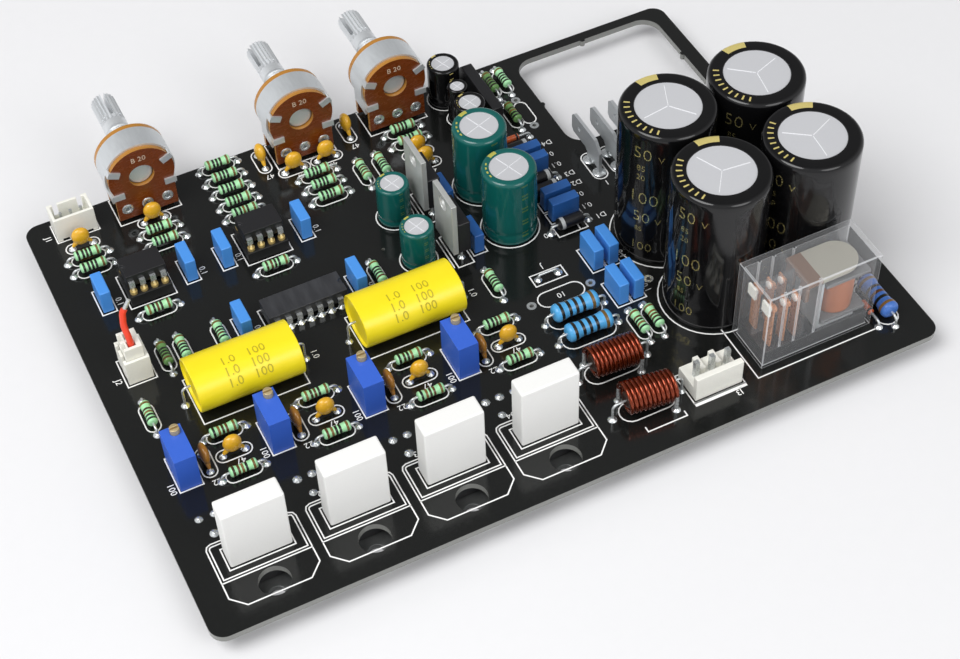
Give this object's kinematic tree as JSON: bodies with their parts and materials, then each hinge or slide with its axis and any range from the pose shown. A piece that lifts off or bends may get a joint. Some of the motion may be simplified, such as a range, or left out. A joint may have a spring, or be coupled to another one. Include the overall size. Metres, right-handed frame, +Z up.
{
  "type": "audio amplifier board",
  "caption": "Populated audio power amplifier board with split-shaft pots, trimmers, relay, reservoir capacitors, headers and flat power chips under its front edge.",
  "frame": {"origin": "centre of the bounding box, at the level of the power chips' flat backs", "axes": "+X along the board's long edge to the relay side, +Y to the control shafts, +Z up from the board"},
  "size_m": [0.174, 0.1464, 0.0466],
  "materials": {
    "board_mask": "black solder mask, gloss",
    "solder": "bright tin solder",
    "resistor_mint": "pale green lacquer",
    "tinned_wire": "tinned wire",
    "resistor_blue": "blue lacquer",
    "cement_white": "matt white cement",
    "enamel_wire": "enamelled copper",
    "film_yellow": "yellow film wrap",
    "box_pale_blue": "moulded box",
    "box_dark_blue": "moulded box",
    "dip_amber": "dipped resin",
    "dip_brown": "dipped resin",
    "diode_black": "moulded epoxy",
    "diode_glass": "tinted glass",
    "sleeve_black": "shrink sleeve",
    "sleeve_green": "shrink sleeve",
    "chip_black": "moulded epoxy",
    "chip_tab": "plated copper",
    "socket_black": "moulded",
    "cup_gold": "plated cups",
    "header_white": "natural nylon",
    "wire_red": "wire insulation",
    "tinned_pin": "tin plate",
    "relay_black": "moulded",
    "relay_clear": "clear plastic cover",
    "relay_bobbin": "moulded",
    "relay_copper": "copper",
    "relay_steel": "plated steel",
    "pot_metal": "plated steel",
    "pot_phenolic": "phenolic paper",
    "shaft_metal": "turned, knurled end",
    "trimmer_blue": "moulded box",
    "trimmer_brass": "turned brass"
  },
  "bodies": {
    "board": {"circuit_board": "board_mask", "solder_top": "solder", "solder_underside": "solder", "signal_resistors": "resistor_mint", "component_leads": "tinned_wire", "power_resistors": "resistor_blue", "cement_resistors": "cement_white", "output_coil_1": "enamel_wire", "output_coil_2": "enamel_wire", "film_capacitor_1": "film_yellow", "film_capacitor_2": "film_yellow", "pale_box_capacitors": "box_pale_blue", "dark_box_capacitors": "box_dark_blue", "drop_capacitors": "dip_amber", "disc_capacitors": "dip_brown", "rectifier_diodes": "diode_black", "signal_diodes": "diode_glass", "reservoir_capacitor_1": "sleeve_black", "reservoir_capacitor_2": "sleeve_black", "reservoir_capacitor_3": "sleeve_black", "reservoir_capacitor_4": "sleeve_black", "black_capacitors": "sleeve_black", "green_capacitors": "sleeve_green", "regulator_bodies": "chip_black", "protection_chip": "chip_black", "op_amps": "chip_black", "switch_chip": "chip_black", "power_chip_bodies": "chip_black", "regulator_tabs": "chip_tab", "power_chip_tabs": "chip_tab", "power_chip_leads": "chip_tab", "chip_legs": "chip_tab", "chip_sockets": "socket_black", "socket_cups": "cup_gold", "input_header": "header_white", "output_header": "header_white", "select_header": "header_white", "select_plug": "header_white", "select_wire": "wire_red", "header_pins": "tinned_pin", "supply_blades": "tinned_pin", "relay_base": "relay_black", "relay_cover": "relay_clear", "relay_bobbin": "relay_bobbin", "relay_winding": "relay_copper", "relay_contacts": "relay_copper", "relay_yoke": "relay_steel", "pot_bands": "pot_metal", "pot_bushes": "pot_metal", "pot_terminals": "pot_metal", "pot_wafers": "pot_phenolic", "trimmer_bodies": "trimmer_blue"},
    "armature": {"relay_armature": "relay_steel"},
    "shaft_1": {"pot_shaft_1": "shaft_metal"},
    "shaft_2": {"pot_shaft_2": "shaft_metal"},
    "shaft_3": {"pot_shaft_3": "shaft_metal"},
    "screw_1": {"trimmer_screw_1": "trimmer_brass"},
    "screw_2": {"trimmer_screw_2": "trimmer_brass"},
    "screw_3": {"trimmer_screw_3": "trimmer_brass"},
    "screw_4": {"trimmer_screw_4": "trimmer_brass"}
  },
  "joints": [
    {"name": "pot_turn_1", "type": "hinge", "parent": "board", "child": "shaft_1", "pos_m": [-0.0579, 0.0578, 0.0196], "axis": [0, 1, 0], "range_deg": [-150, 150]},
    {"name": "pot_turn_2", "type": "hinge", "parent": "board", "child": "shaft_2", "pos_m": [-0.0173, 0.0578, 0.0196], "axis": [0, 1, 0], "range_deg": [-150, 150]},
    {"name": "pot_turn_3", "type": "hinge", "parent": "board", "child": "shaft_3", "pos_m": [0.0075, 0.0578, 0.0196], "axis": [0, 1, 0], "range_deg": [-150, 150]},
    {"name": "trimmer_turn_1", "type": "hinge", "parent": "board", "child": "screw_1", "pos_m": [-0.0769, -0.0278, 0.0166], "axis": [0, 0, 1], "continuous": true},
    {"name": "trimmer_turn_2", "type": "hinge", "parent": "board", "child": "screw_2", "pos_m": [-0.0557, -0.0278, 0.0166], "axis": [0, 0, 1], "continuous": true},
    {"name": "trimmer_turn_3", "type": "hinge", "parent": "board", "child": "screw_3", "pos_m": [-0.0339, -0.0278, 0.0166], "axis": [0, 0, 1], "continuous": true},
    {"name": "trimmer_turn_4", "type": "hinge", "parent": "board", "child": "screw_4", "pos_m": [-0.0113, -0.0278, 0.0166], "axis": [0, 0, 1], "continuous": true},
    {"name": "relay_pull", "type": "hinge", "parent": "board", "child": "armature", "pos_m": [0.0606, -0.0576, 0.0256], "axis": [0, 1, 0], "range_deg": [0, 3], "stiffness_Nm_per_rad": 0.01, "springref_deg": -2.86}
  ]
}
